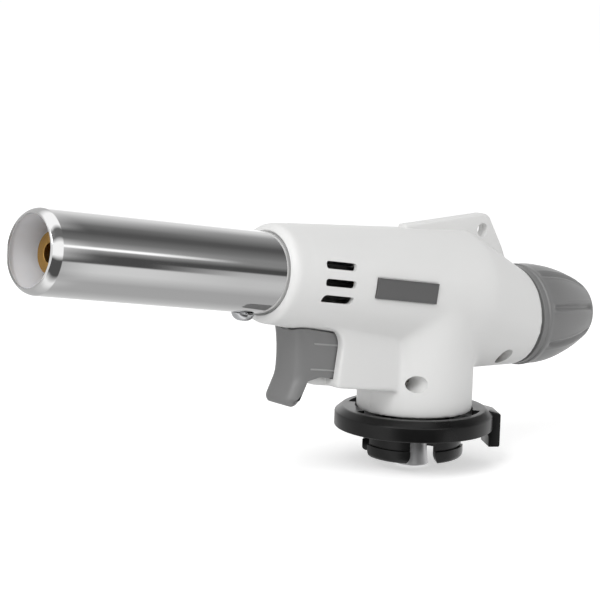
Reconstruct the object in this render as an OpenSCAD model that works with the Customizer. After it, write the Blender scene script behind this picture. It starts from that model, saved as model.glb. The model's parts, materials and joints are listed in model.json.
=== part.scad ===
// Hand-held butane torch that locks on a bayonet gas cartridge.
// +Z runs up the axis of the gas inlet, and the flame tube points towards -X.
// The origin is on that axis, at the underside of the lock ring, where the cartridge seats.

/* [Barrel] */
// Height of the barrel's axis above the origin, on the inlet axis
barrel_z = 36; // [34:0.5:42]
// Angle by which the barrel's mouth is raised, in degrees
barrel_tilt = 8.7; // [0:0.1:12]
// Thickness of the housing's lip round the flame tube
lip_wall = 2.3; // [1.8:0.1:3.5]
// Radius of the housing's cone at its rear end
cone_rear_r = 15.9; // [15:0.1:18]
// Distance from the inlet axis forward to the housing's front face
lip_s = 51.8; // [48:0.1:60]
// Distance from the inlet axis back to the cone's rear end
cone_back = 12; // [10:0.5:14]
// Wall thickness of the housing
wall = 2; // [1.6:0.1:2.4]

/* [Flame tube] */
// Outer radius of the flame tube
tube_r = 10; // [9:0.1:10.4]
// Wall thickness of the flame tube
tube_wall = 0.6; // [0.5:0.1:0.8]
// Distance from the inlet axis to the tube's mouth
tube_tip = 120.2; // [100:0.5:145]
// Depth to which the tube goes into the housing
tube_seat = 7.8; // [6.5:0.1:9]
// Length of the mouth that is rolled inwards
roll_len = 1.9; // [1:0.1:3]
// Distance from the housing's front face to the screw under the tube
tube_screw_ahead = 4.2; // [3.4:0.1:6]

/* [Burner] */
// Outer radius of the brass burner head
head_r = 4.9; // [4.4:0.1:5.5]
// Radius of the burner head's bore
head_bore_r = 2.4; // [1.5:0.1:2.8]
// Depth of the burner head's face inside the tube's mouth
head_depth = 5.8; // [4:0.1:12]
// Length of the burner head
head_len = 13; // [10:0.5:16]
// Outer radius of the mixing tube
mix_r = 3.8; // [3.6:0.1:4]
// Wall thickness of the mixing tube
mix_wall = 0.5; // [0.4:0.05:0.6]

/* [Grip] */
// Radius of the neck
neck_r = 14.7; // [14:0.1:15.5]
// Height of the jaw's underside, below the barrel's axis
jaw_drop = 26.1; // [25.5:0.1:28]
// Distance from the inlet axis forward to the jaw's front edge
jaw_front = 29.3; // [28:0.1:30]
// Distance from the inlet axis forward to the tongue's tip
tongue_front = 35.4; // [33:0.1:35.4]

/* [Trigger] */
// Width of the trigger
trigger_w = 11; // [9:0.1:11]
// Distance from the inlet axis forward to the trigger's upper front corner
trigger_front = 42.3; // [42.3:0.1:44]
// Travel of the trigger
trigger_travel = 3.5; // [2.5:0.1:3.5]
// Height of the trigger's toe, below the barrel's axis
toe_drop = 32; // [30:0.1:36]
// Wall thickness of the trigger
trigger_wall = 1.3; // [1.1:0.1:1.3]

/* [Gas knob] */
// Height of the valve's axis above the origin, on the inlet axis
valve_z = 27.4; // [26.5:0.1:28]
// Angle by which the valve's axis drops towards the knob, in degrees
valve_tilt = 2.3; // [0:0.1:4]
// Distance from the inlet axis back to the housing's rear face
rear_s = 32.1; // [30:0.1:38]
// Radius of the housing at its rear face
rear_r = 12.9; // [12.4:0.1:13.5]
// Radius of the knob at its bead
knob_r = 13.2; // [12.6:0.1:14]
// Length of the knob
knob_len = 24.8; // [20:0.1:30]
// Number of flutes round the knob
flutes = 8; // [6:1:12]
// Turns of the knob from shut to fully open
valve_turns = 1.5; // [1:0.25:2]
// Pitch of the valve's thread
valve_pitch = 0.7; // [0.5:0.1:1]

/* [Lock ring] */
// Width of the lock ring's rim outside the neck
ring_rim = 5.6; // [5:0.1:7]
// Height of the lock ring
ring_h = 5.2; // [4.8:0.1:6]
// Outer radius of the claws
claw_r = 12.9; // [12.4:0.1:13.4]
// Height of the claws below the ring
claw_h = 7.3; // [6:0.1:9]
// Angle of the tab from the rear of the torch, in degrees
tab_angle = -30; // [-34:1:0]
// Radius of the gas inlet
inlet_r = 3.9; // [3.6:0.1:4.2]
// Depth of the gas inlet's mouth below the origin
inlet_drop = 9.5; // [8.5:0.1:11]
// Radius of the bore that takes the cartridge's stem
stem_bore_r = 2; // [1.8:0.1:2.2]

/* [Hanging fin] */
// Thickness of the fin
fin_t = 3.3; // [2.6:0.1:4]
// Radius of the hanging hole
hang_r = 1.8; // [1.6:0.1:2.4]

/* [Hidden] */
$fn = 96;

eps = 0.01;          // overlap that makes cuts clean
run_gap = 0.05;      // radial gap of a running fit
fit_gap = 0.05;      // radial gap between pieces that are assembled and stay put
slide_gap = 0.3;     // gap round the trigger in the jaw
hull_fn = 32;        // facets of a disc that is only used in a hull

// Cone of the housing
lip_round = 2.2;
cone_front_r = tube_r + lip_wall;
cone_front_s = lip_s - lip_round;
cone_slope = (cone_rear_r - cone_front_r) / (cone_front_s + cone_back);
function cone_r(s) = cone_front_r + (cone_front_s - s) * cone_slope;

rear_from = 6;       // start of the rear barrel, from the inlet axis

// Socket of the tube and the burner mount's flange in the housing
tube_tail = lip_s - tube_seat;
tube_screw_s = lip_s + tube_screw_ahead;
mount_flange_t = 1.5;
mount_flange_r = tube_r + 0.9;

// Neck and jaw
neck_top = barrel_z - 6.2;
jaw_half_w = trigger_w / 2 + slide_gap + wall;
tongue_root_back = 2.7;     // how far the rounded root of the tongue starts behind the jaw's edge

// Valve body
boss_r = 9;                 // lower boss, on which the lock ring turns
boss_bottom = -2.2;
boss_top = 5.4;
flange_r = neck_r - wall - 0.3;
flange_t = 2;
pillar_r = 5.4;
valve_r = 5.9;
valve_front = -3;
valve_back = 21;
nipple_r = 3.2;
nipple_s = 18;
spindle_r = 2;
seal_wire_r = 0.75;
seal_chamber_r = spindle_r + 2 * seal_wire_r + fit_gap;
seal_x = 16;
inlet_thread_r = stem_bore_r + 1;
inlet_thread_top = 5;
gas_way_r = 0.8;

// Lock ring
ring_r = neck_r + ring_rim;
ring_floor = 3.5;
ring_recess_r = neck_r + 0.35;
ring_arc_r = ring_recess_r + 2;
ring_arc_span = 138;
ring_chamfer = 1.8;
neck_bottom = ring_floor + 0.3;
claws = 4;
claw_t = 2.6;
claw_gap = 7.2;
lug_h = 3.3;
lug_depth = 0.5;
tab_w = 8.4;
tab_out = 1.7;
tab_drop = 4.8;
clip_r = 10;
clip_t = 0.8;

// Trigger and igniter, in the barrel's frame
trigger_top = cone_r(jaw_front);
igniter_r = 3.3;
igniter_front = 21;
igniter_back = 5;
plunger_r = 2.1;
plunger_grip = 4.5;         // length of plunger inside the igniter at rest
spring_r = 2.8;
spring_wire_r = 0.3;
spring_turns = 4;
spring_solid = 2 * spring_wire_r * (spring_turns + 1);
stem_back = igniter_front + trigger_travel + spring_solid;
stem_drop = 23.4;           // underside of the trigger's stem below the barrel's axis
pull_drop = trigger_top + spring_r + 0.714; // height of the plunger's axis below the barrel's axis

// Screws in the housing: place of each in X and Z, and depth of its recess's floor
screw_places = [[-9.5, barrel_z - 22.2, -6.5], [22.5, valve_z - 10, -5]];
screw_recess_r = 2.15;
screw_boss_r = 2.6;
screw_shank_r = 1.2;
screw_len = 15;

// Rows of vents: height of each row above the barrel's axis
vent_rows = [4.4, 0.2, -3.8];
vent_h = 1.7;
vent_len = 8.6;
vent_s = lip_s - 13.8;
vent_skew = 0.7;

// Name plates
plate_len = 20.5;
plate_h = 5;
plate_t = 0.8;
plate_s = 16.8;
plate_sink = 0.3;

function arc(cx, cy, r, a0, a1, n = 8) =
    [for (i = [0:n]) [cx + r * cos(a0 + (a1 - a0) * i / n), cy + r * sin(a0 + (a1 - a0) * i / n)]];

// Frame of the barrel: X runs back along it, Z up across it
module barrel_frame() {
    translate([0, 0, barrel_z]) rotate([0, barrel_tilt, 0]) children();
}

// The same frame with Z along the barrel towards the mouth, for round pieces
module along_barrel() {
    barrel_frame() rotate([0, -90, 0]) children();
}

// Frame of the valve: Z runs back along its axis towards the knob
module along_valve() {
    translate([0, 0, valve_z]) rotate([0, valve_tilt, 0]) rotate([0, 90, 0]) children();
}

// A plate across Y, from an outline in X and Z
module side_plate(w) {
    rotate([90, 0, 0]) linear_extrude(height = w, center = true) children();
}

module pipe(r, bore, h) {
    difference() {
        cylinder(r = r, h = h);
        translate([0, 0, -eps]) cylinder(r = bore, h = h + 2 * eps);
    }
}

// ---- housing ----

module cone_outside() {
    along_barrel() rotate_extrude() polygon(concat(
        [[0, -cone_back], [cone_r(-cone_back), -cone_back]],
        arc(cone_front_r - lip_round, cone_front_s, lip_round, 2, 90),
        [[0, lip_s]]));
}

module cone_inside() {
    along_barrel() rotate_extrude() polygon([
        [0, wall - cone_back], [cone_r(-cone_back) - wall, wall - cone_back],
        [cone_r(tube_tail - mount_flange_t) - wall, tube_tail - mount_flange_t],
        [mount_flange_r + fit_gap, tube_tail - mount_flange_t],
        [mount_flange_r + fit_gap, tube_tail + fit_gap], [tube_r + fit_gap, tube_tail + fit_gap],
        [tube_r + fit_gap, lip_s - 0.6], [tube_r + 0.5, lip_s + eps], [0, lip_s + eps]]);
}

// The rear shoulder, blended from the cone's rear disc to the rear face; inset makes its inside
module rear_blend(inset) {
    hull() {
        along_barrel() translate([0, 0, inset - cone_back + 0.1])
            cylinder(r = cone_rear_r - inset - 0.06, h = 0.2, $fn = hull_fn);
        along_valve() translate([0, 0, rear_from])
            cylinder(r = rear_r - inset, h = rear_s - inset - rear_from, $fn = hull_fn);
    }
}

jaw_in_back = 2;

module jaw_outside() {
    barrel_frame() {
        side_plate(2 * jaw_half_w) polygon(concat(
            [[jaw_in_back, -10], [jaw_in_back, -jaw_drop]],
            arc(-jaw_front + 1, -jaw_drop + 1, 1, 270, 180, 4),
            arc(-jaw_front - 2.4, -cone_r(jaw_front) - 1.6, 2.4, 0, 60, 5),
            [[-jaw_front - 1, -10]]));
        tongue();
    }
}

// The tongue of the jaw's floor that reaches under the trigger
module tongue() {
    tongue_w = trigger_w - 2 * trigger_wall - 2 * slide_gap - 0.8;
    intersection() {
        side_plate(2 * jaw_half_w) polygon(concat(
            [[-jaw_front + 3, -jaw_drop + wall], [-jaw_front + 3, -jaw_drop]],
            arc(-tongue_front + 3, -jaw_drop + 3, 3, 270, 205, 5),
            [[-tongue_front + 0.6, -jaw_drop + wall + 0.2], [-jaw_front - 1.5, -jaw_drop + wall]]));
        translate([0, 0, -jaw_drop - 1]) linear_extrude(height = 6) union() {
            translate([-tongue_front, -tongue_w / 2]) square([tongue_front - jaw_front + 4, tongue_w]);
            translate([-jaw_front + tongue_root_back, 0]) circle(r = jaw_half_w);
        }
    }
}

module jaw_inside() {
    barrel_frame() {
        side_plate(2 * (jaw_half_w - wall)) polygon([
            [jaw_in_back, -8], [jaw_in_back, -jaw_drop + wall],
            [-jaw_front - 9, -jaw_drop + wall], [-jaw_front - 9, -cone_r(jaw_front) + 0.3],
            [-jaw_front + 4, -cone_r(jaw_front) + 0.3], [-jaw_front + 4, -8]]);
    }
}

module neck_outside() {
    translate([0, 0, neck_bottom]) cylinder(r = neck_r, h = neck_top - neck_bottom);
}

module neck_inside() {
    translate([0, 0, boss_top + fit_gap]) cylinder(r = neck_r - wall, h = neck_top + 0.65 - boss_top - fit_gap);
    translate([0, 0, neck_bottom - 1]) cylinder(r = boss_r + 0.3, h = 10);
}

// The fin stands on the barrel, so its heights are measured from the barrel's axis
fin_round = 2.6;
hang_place = [20, 13.6];

module fin() {
    translate([0, 0, barrel_z]) side_plate(fin_t) polygon(concat(
        [[-7, 10], [-6.5, 16.6]],
        arc(20.6, 15.2, fin_round, 92, 22, 6),
        [[27.6, 8.4], [29, 5.2], [24, 2]]));
}

module vent_slot(row) {
    barrel_frame() translate([-vent_s, 0, vent_rows[row]]) side_plate(60) {
        skew = row == 2 ? vent_skew : 0;
        polygon(concat(
            arc(vent_len / 2 - 0.5 + skew, vent_h / 2 - 0.5, 0.5, 0, 90, 3),
            arc(-vent_len / 2 + 0.5 + skew, vent_h / 2 - 0.5, 0.5, 90, 180, 3),
            arc(-vent_len / 2 + 0.5 - skew, -vent_h / 2 + 0.5, 0.5, 180, 270, 3),
            arc(vent_len / 2 - 0.5 - skew, -vent_h / 2 + 0.5, 0.5, 270, 360, 3)));
    }
}

// Frame of the name plate on one side: Y is out of the plate's back
module plate_frame(side) {
    barrel_frame() translate([-plate_s, side * (cone_r(plate_s) - plate_sink), 0])
        rotate([0, 0, side * atan(cone_slope)]) children();
}

module screw_posts() {
    for (p = screw_places) translate([p[0], 0, p[1]]) rotate([90, 0, 0])
        cylinder(r = screw_boss_r, h = 28, center = true);
}

// Ribs that hold the valve body and the igniter from both sides
module ribs() {
    along_valve() translate([0, 0, 11.5]) cylinder(r = rear_r - 0.5, h = 2);
    for (s = [8, 17]) barrel_frame() translate([-s, 0, -pull_drop])
        cube([1.6, 2 * jaw_half_w - 1, 8.6], center = true);
}

module outside() {
    cone_outside();
    rear_blend(0);
    neck_outside();
    jaw_outside();
}

module housing_half(side) {
    difference() {
        intersection() {
            union() {
                difference() {
                    union() {
                        outside();
                        fin();
                    }
                    cone_inside();
                    difference() {
                        union() {
                            rear_blend(wall);
                            neck_inside();
                            jaw_inside();
                        }
                        ribs();
                    }
                }
                intersection() {
                    outside();
                    screw_posts();
                }
            }
            translate([-100, side > 0 ? 0 : -100, -50]) cube([200, 100, 200]);
        }
        along_valve() translate([0, 0, valve_front]) cylinder(r = valve_r + fit_gap, h = 60);
        barrel_frame() translate([0, 0, -pull_drop]) rotate([0, -90, 0])
            cylinder(r = igniter_r + fit_gap, h = igniter_front);
        for (row = [0:2]) vent_slot(row);
        for (p = screw_places) translate([p[0], 0, p[1]]) rotate([90, 0, 0]) {
            if (side < 0) translate([0, 0, -p[2]]) cylinder(r = screw_recess_r, h = 30);
            cylinder(r = side < 0 ? screw_shank_r + 0.15 : screw_shank_r - 0.15,
                     h = 22, center = true);
        }
        plate_frame(side) translate([0, side * 3, 0])
            cube([plate_len + 0.4, 6 + eps, plate_h + 0.4], center = true);
        translate([hang_place[0], 0, barrel_z + hang_place[1]]) rotate([90, 0, 0])
            cylinder(r = hang_r, h = 20, center = true);
    }
}

module housing_left() color("whitesmoke") housing_half(-1);
module housing_right() color("white") housing_half(1);

// ---- flame tube and burner ----

mouth_r = tube_r - 1.2;

module flame_tube() color("silver") along_barrel() difference() {
    rotate_extrude() polygon([
        [tube_r - tube_wall, tube_tail + 2 * fit_gap], [tube_r, tube_tail + 2 * fit_gap],
        [tube_r, tube_tip - roll_len], [mouth_r, tube_tip - 0.1], [mouth_r - 0.15, tube_tip],
        [mouth_r - 0.4, tube_tip - 0.1], [mouth_r - 0.4, tube_tip - 0.5],
        [tube_r - tube_wall, tube_tip - roll_len - 0.3]]);
    translate([0, 0, tube_screw_s]) rotate([0, -90, 0]) cylinder(r = 1.5 + fit_gap, h = 20);
}

tube_head_t = 1.9;

module tube_screw() color("gainsboro") along_barrel() translate([0, 0, tube_screw_s])
    rotate([0, -90, 0]) difference() {
        union() {
            translate([0, 0, tube_r - 4.5]) cylinder(r = 1.45, h = 5);
            translate([0, 0, tube_r + 0.05]) rotate_extrude() polygon(concat(
                [[0, 0], [2.85, 0]], arc(1.35, 0.5, 1.5, 0, 70, 5), [[0, tube_head_t]]));
        }
        for (a = [0, 90]) rotate([0, 0, a]) translate([-1.4, -0.25, tube_r + 1])
            cube([2.8, 0.5, 2]);
    }

mount_front = tube_screw_s + 3.5;

module burner_mount() color("darkgray") along_barrel() difference() {
    union() {
        translate([0, 0, tube_tail - mount_flange_t + fit_gap])
            cylinder(r = mount_flange_r, h = mount_flange_t - 2 * fit_gap);
        translate([0, 0, tube_tail - fit_gap - eps])
            cylinder(r = tube_r - tube_wall - fit_gap, h = mount_front - tube_tail);
    }
    difference() {
        translate([0, 0, tube_tail + 1]) cylinder(r = tube_r - tube_wall - 1.9, h = 40);
        translate([0, 0, tube_tail + 1]) cylinder(r = mix_r + 1.2, h = 8);
    }
    translate([0, 0, 30]) cylinder(r = mix_r + fit_gap, h = 40);
    for (a = [0:60:300]) rotate([0, 0, a + 30]) translate([6.9, 0, 30]) cylinder(r = 1.2, h = 40);
    translate([0, 0, tube_screw_s]) rotate([0, -90, 0]) cylinder(r = 1.45 + fit_gap, h = 20);
}

head_front = tube_tip - head_depth;

module burner_head() color("goldenrod") along_barrel() translate([0, 0, head_front - head_len])
    rotate_extrude() polygon([
        [mix_r + fit_gap, 0], [head_r - 0.3, 0], [head_r, 0.3], [head_r, head_len - 0.3],
        [head_r - 0.3, head_len], [head_bore_r + 0.2, head_len], [head_bore_r, head_len - 0.2],
        [head_bore_r, head_len - 4], [mix_r - mix_wall, head_len - 5.5], [mix_r + fit_gap, head_len - 5.5]]);

mix_front = head_front - 6;
mix_back = nipple_s - 5;

module burner_gauze() color("dimgray") along_barrel() difference() {
    translate([0, 0, mix_front - 1.2]) cylinder(r = mix_r - mix_wall - fit_gap, h = 0.8);
    for (x = [-2:1:2], y = [-2:1:2]) translate([x, y, mix_front - 2]) cylinder(r = 0.3, h = 3, $fn = 16);
}

module mixing_tube() color("lightgray") along_barrel() difference() {
    translate([0, 0, mix_back]) pipe(mix_r, mix_r - mix_wall, mix_front - mix_back);
    for (a = [0, 90]) rotate([0, 0, a]) translate([0, 0, nipple_s + 7]) rotate([0, 90, 0])
        cylinder(r = 1.8, h = 20, center = true);
}

jet_r = 2.2;

module gas_jet() color("goldenrod") along_barrel() difference() {
    union() {
        translate([0, 0, nipple_s - 5]) cylinder(r = jet_r, h = 5);
        translate([0, 0, nipple_s]) cylinder(r = 2.7, h = 1.6, $fn = 6);
        translate([0, 0, nipple_s + 1.6]) cylinder(r1 = 2, r2 = 1, h = 1.8);
    }
    translate([0, 0, nipple_s - 6]) cylinder(r = 1, h = 6.5);
    translate([0, 0, nipple_s - 1]) cylinder(r = 0.25, h = 6);
}

// ---- valve and inlet ----

module valve_body() color("tan") difference() {
    union() {
        translate([0, 0, boss_bottom]) cylinder(r = boss_r, h = boss_top + 0.1 - boss_bottom);
        translate([0, 0, boss_top + 0.1]) cylinder(r = flange_r, h = flange_t);
        translate([0, 0, boss_top]) cylinder(r = pillar_r, h = barrel_z - boss_top + 3.6);
        along_valve() translate([0, 0, valve_front]) cylinder(r = valve_r, h = valve_back - valve_front);
        along_barrel() cylinder(r = nipple_r + 1, h = mix_back - 1);
        along_barrel() cylinder(r = nipple_r, h = nipple_s);
    }
    translate([0, 0, -clip_t - 0.15]) pipe(boss_r + 1, boss_r - 0.8, clip_t + 0.1);
    translate([0, 0, boss_bottom - eps]) cylinder(r = inlet_thread_r + fit_gap, h = 14);
    cylinder(r = gas_way_r + 0.1, h = barrel_z);
    along_valve() translate([0, 0, 4]) cylinder(r = spindle_r + run_gap, h = 30);
    along_valve() cylinder(r = gas_way_r, h = 5);
    along_valve() translate([0, 0, seal_x - 1]) cylinder(r = seal_chamber_r, h = 20);
    along_barrel() translate([0, 0, -1.5]) cylinder(r = gas_way_r, h = 30);
    along_barrel() translate([0, 0, nipple_s - 5 - fit_gap]) cylinder(r = jet_r + fit_gap, h = 6);
}

seal_step_z = -2;           // the bore is wider above this, to hold the seal
seal_room = 0.2;

module inlet_stem() color("silver") rotate_extrude() polygon([
    [stem_bore_r + seal_room, 4.2], [stem_bore_r + seal_room, seal_step_z],
    [stem_bore_r, seal_step_z], [stem_bore_r, -inlet_drop + 0.5], [stem_bore_r + 0.5, -inlet_drop],
    [inlet_r + 0.1, -inlet_drop], [inlet_r + 0.25, -inlet_drop + 0.3],
    [inlet_r + 0.1, -inlet_drop + 2], [inlet_r, -inlet_drop + 4.5],
    [inlet_r, boss_bottom - fit_gap], [inlet_thread_r, boss_bottom - fit_gap],
    [inlet_thread_r, inlet_thread_top], [stem_bore_r - 0.8, inlet_thread_top], [stem_bore_r - 0.8, 4.2]]);

stem_seal_r = 0.6;

module inlet_seal() color("black") translate([0, 0, seal_step_z + stem_seal_r + 0.5]) rotate_extrude()
    translate([stem_bore_r + seal_room - stem_seal_r - 0.02, 0]) circle(r = stem_seal_r, $fn = 32);

module inlet_filter() color("peru") translate([0, 0, inlet_thread_top + 0.1])
    cylinder(r = inlet_thread_r - 0.2, h = 2.4);

module claw_ring() {
    difference() {
        rotate_extrude() polygon([
            [claw_r - claw_t, -claw_h + 0.5], [claw_r - claw_t + 0.5, -claw_h], [claw_r - 0.9, -claw_h],
            [claw_r, -claw_h + 0.9], [claw_r, -claw_h + lug_h], [claw_r - lug_depth, -claw_h + lug_h],
            [claw_r - lug_depth, 1], [claw_r - claw_t, 1]]);
        for (i = [0:claws / 2 - 1]) rotate([0, 0, i * 360 / claws]) {
            translate([0, 0, -claw_h / 2]) cube([50, claw_gap, claw_h], center = true);
            translate([0, 0, -claw_h]) rotate([45, 0, 0]) cube([50, claw_gap, claw_gap] * 0.95, center = true);
        }
    }
}

module lock_ring() color("#222222") rotate([0, 0, tab_angle]) {
    difference() {
        union() {
            rotate_extrude() polygon([[0, 0], [ring_r - 0.3, 0], [ring_r, 0.3], [ring_r, ring_h - 1.5],
                                      [ring_r - ring_chamfer, ring_h], [0, ring_h]]);
            translate([ring_r - 3, -tab_w / 2, -tab_drop]) cube([3 + tab_out, tab_w, tab_drop + ring_h - 0.6]);
        }
        translate([0, 0, ring_floor]) cylinder(r = ring_recess_r, h = 10);
        for (a = [90, 270]) translate([0, 0, ring_floor + 0.2]) rotate([0, 0, a - ring_arc_span / 2])
            rotate_extrude(angle = ring_arc_span) translate([ring_recess_r - 1, 0]) square([3, 10]);
        translate([0, 0, -eps]) cylinder(r = boss_r + run_gap, h = 10);
        translate([ring_r - 3 - eps, -tab_w, -tab_drop - 1]) cube([1.8, 2 * tab_w, tab_drop + 1]);
    }
    claw_ring();
}

module ring_clip() color("gray") translate([0, 0, -clip_t - 0.1]) difference() {
    pipe(clip_r, boss_r - 0.75, clip_t);
    translate([0, -2.5, -1]) cube([20, 5, 3]);
}

needle_tip = 3.8;
spindle_back = rear_s + 12;

module valve_spindle() color("lightsteelblue") along_valve() {
    translate([0, 0, needle_tip]) cylinder(r1 = 0.3, r2 = spindle_r, h = 3);
    translate([0, 0, needle_tip + 3 - eps]) cylinder(r = spindle_r, h = spindle_back - needle_tip - 3);
}

module spindle_seal() color("black") along_valve() translate([0, 0, seal_x + seal_wire_r]) rotate_extrude()
    translate([spindle_r + seal_wire_r + 0.02, 0]) circle(r = seal_wire_r - 0.02, $fn = 32);

gland_s = valve_back + 0.1;

module gland_nut() color("goldenrod") along_valve() difference() {
    union() {
        translate([0, 0, gland_s]) cylinder(r = 5, h = 4, $fn = 6);
        translate([0, 0, gland_s - 3]) cylinder(r = seal_chamber_r - fit_gap, h = 4);
    }
    translate([0, 0, gland_s - 4]) cylinder(r = spindle_r + run_gap, h = 20);
}

// ---- knob ----

knob_gap = 0.4;
knob_bead = 2.8;            // length of the plain band in front of the bead
knob_tip_r = 8.6;
flute_turn = 29.5;          // angle of the first flute from straight down
knob_wall = 2;

module gas_knob() color("gray") along_valve() translate([0, 0, rear_s + knob_gap]) difference() {
    rotate_extrude() polygon(concat(
        [[0, 0], [rear_r - 0.3, 0], [rear_r, 0.4], [rear_r + 0.15, knob_bead - 0.3],
         [knob_r, knob_bead], [knob_r + 0.1, knob_bead + 0.4], [knob_r, knob_bead + 0.8]],
        [for (i = [1:9]) knob_profile(i / 10)],
        arc(knob_tip_r - 2.2, knob_len - 2.4, 2.4, 20, 90, 5), [[0, knob_len]]));
    rotate_extrude() polygon(concat([[3.4, -1], [rear_r - knob_wall, -1], [rear_r - knob_wall, knob_bead]],
        [for (i = [1:7]) knob_profile(i / 10) - [knob_wall + 0.2, 0]], [[3.4, knob_len - 6]]));
    for (i = [0:flutes - 1]) rotate([0, 0, flute_turn + i * 360 / flutes]) flute();
    translate([0, 0, -1]) cylinder(r = spindle_r + run_gap, h = spindle_back - rear_s - knob_gap + 2);
}

// Radius and length of the knob's curved side, from the bead to the tip's round
function knob_profile(t) =
    [knob_r - (knob_r - knob_tip_r) * pow(t, 2.1), knob_bead + 0.8 + (knob_len - 3.4 - knob_bead) * t];

module flute() {
    flute_r = 1.6;
    flute_lean = atan((knob_r - knob_tip_r - 0.6) / (knob_len - knob_bead));
    translate([knob_r + flute_r, 0, knob_bead + 1.5]) rotate([0, -flute_lean, 0])
        translate([-0.45, 0, 0]) cylinder(r = flute_r, h = knob_len);
}

// ---- trigger and igniter ----

// The hollow of the trigger's face: distance behind its upper corner, and height from the barrel's axis
trigger_face = [[1.1, -16.2], [1.8, -19], [2, -22], [1.8, -25], [1.2, -27.5]];

// Outline of the trigger in the barrel's frame
module trigger_outline() {
    polygon(concat(
        [[-stem_back, -stem_drop], [-stem_back, -trigger_top], [-trigger_front, -trigger_top]],
        [for (p = trigger_face) [p[0] - trigger_front, p[1]]],
        arc(1.4 - trigger_front, -toe_drop + 1.9, 1.6, 165, 265, 5),
        arc(2.7 - trigger_front, -toe_drop + 1.4, 1.3, 265, 355, 5),
        [[4.7 - trigger_front, -27.8], [5.1 - trigger_front, -25.4]],
        arc(6.1 - trigger_front, -stem_drop - 1, 1, 180, 90, 3)));
}

module trigger() color("gray") barrel_frame() difference() {
    side_plate(trigger_w) trigger_outline();
    side_plate(trigger_w - 2 * trigger_wall) translate([trigger_wall, 0]) polygon([
        [-stem_back - 3, -stem_drop + 1.6], [-stem_back - 3, -trigger_top + 1],
        [-trigger_front, -trigger_top + 1], [-trigger_front, -trigger_top],
        for (i = [0:3]) [trigger_face[i][0] - trigger_front, trigger_face[i][1]],
        [1.2 - trigger_front, -28.2], [5.3 - trigger_front, -29], [5.3 - trigger_front, -stem_drop + 1.6]]);
    rotate([0, -90, 0]) rotate_extrude() polygon([
        [0, 20], [cone_r(20 - trigger_travel) + slide_gap, 20],
        [cone_r(60 - trigger_travel) + slide_gap, 60], [0, 60]]);
}

module igniter_body() color("dimgray") barrel_frame() translate([-igniter_back, 0, -pull_drop])
    rotate([0, -90, 0]) difference() {
        cylinder(r = igniter_r, h = igniter_front - igniter_back);
        translate([0, 0, igniter_front - igniter_back - plunger_grip - trigger_travel - 0.5])
            cylinder(r = plunger_r + run_gap, h = 30);
    }

module igniter_plunger() color("ivory") barrel_frame()
    translate([-stem_back + 0.05, 0, -pull_drop]) rotate([0, 90, 0])
        cylinder(r = plunger_r, h = stem_back - igniter_front + plunger_grip);

// A round wire along a path; level is a direction the path never takes
module wire(path, r, level, sides) {
    last = len(path) - 1;
    rings = [for (i = [0:last]) let (
        along = path[min(i + 1, last)] - path[max(i - 1, 0)],
        u = cross(along, level) / norm(cross(along, level)),
        v = cross(along, u) / norm(along))
        [for (k = [0:sides - 1]) path[i] + r * (u * cos(360 * k / sides) + v * sin(360 * k / sides))]];
    walls = [for (i = [0:last - 1], k = [0:sides - 1])
        [i * sides + k, (i + 1) * sides + k, (i + 1) * sides + (k + 1) % sides, i * sides + (k + 1) % sides]];
    polyhedron([for (ring = rings) for (p = ring) p],
        concat([[for (k = [0:sides - 1]) k]], [[for (k = [0:sides - 1]) last * sides + sides - 1 - k]], walls));
}

module trigger_spring() color("silver") barrel_frame() translate([-igniter_front, 0, -pull_drop]) {
    steps = spring_turns * 16;
    reach = stem_back - igniter_front - 2 * spring_wire_r - 0.2;
    wire([for (i = [0:steps]) [-0.1 - spring_wire_r - reach * i / steps,
                               spring_r * cos(360 * spring_turns * i / steps),
                               spring_r * sin(360 * spring_turns * i / steps)]],
         spring_wire_r, [1, 0, 0], 6);
}

// Igniter lead: from the back of the igniter up beside the valve and along to the insulator
lead_r = 0.8;
insulator_y = -6.6;
insulator_back = mount_front + 2.5;
lead_points = [[-igniter_back + 0.05, -1.2, -pull_drop], [-igniter_back + 1, -1.2, -pull_drop],
               [-2.6, -4.8, -16], [-3.5, -7.5, -11], [-12, -8.3, -5], [-20, -8.6, -2],
               [-32, -7.6, -0.5], [-42, insulator_y, 0], [-insulator_back, insulator_y, 0]];

// The path's corners, rounded: each is cut twice, a quarter of the way in from its ends
function cut_corners(path, n) = n == 0 ? path : cut_corners(concat(
    [path[0]],
    [for (i = [0:len(path) - 2]) for (t = [0.25, 0.75]) path[i] * (1 - t) + path[i + 1] * t],
    [path[len(path) - 1]]), n - 1);

module ignition_lead() color("black") barrel_frame()
    wire(cut_corners(lead_points, 2), lead_r, [0, 1, 0], 8);

insulator_front = head_front - 14.7;

module electrode_insulator() color("white") barrel_frame()
    translate([-insulator_back - 0.1, insulator_y, 0]) rotate([0, -90, 0])
        pipe(1.5, 0.45, insulator_front - insulator_back);

module electrode_wire() color("gray") barrel_frame()
    translate([-insulator_back - 0.2, insulator_y, 0]) rotate([0, -90, 0])
        cylinder(r = 0.4, h = head_front - insulator_back - 1.5);

// ---- trim and fasteners ----

module name_plates() color("dimgray") for (side = [-1, 1]) plate_frame(side)
    translate([0, side * (plate_t / 2 + 0.02), 0]) cube([plate_len, plate_t, plate_h], center = true);

module housing_screws() color("silver") for (p = screw_places)
    translate([p[0], p[2] - 0.05, p[1]]) rotate([90, 0, 0]) {
        translate([0, 0, -screw_len + 1]) cylinder(r = screw_shank_r - 0.15 - fit_gap, h = screw_len);
        difference() {
            cylinder(r = 2, h = 1.6);
            for (a = [0, 90]) rotate([0, 0, a]) translate([-1.2, -0.2, 0.7]) cube([2.4, 0.4, 2]);
        }
    }

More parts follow.
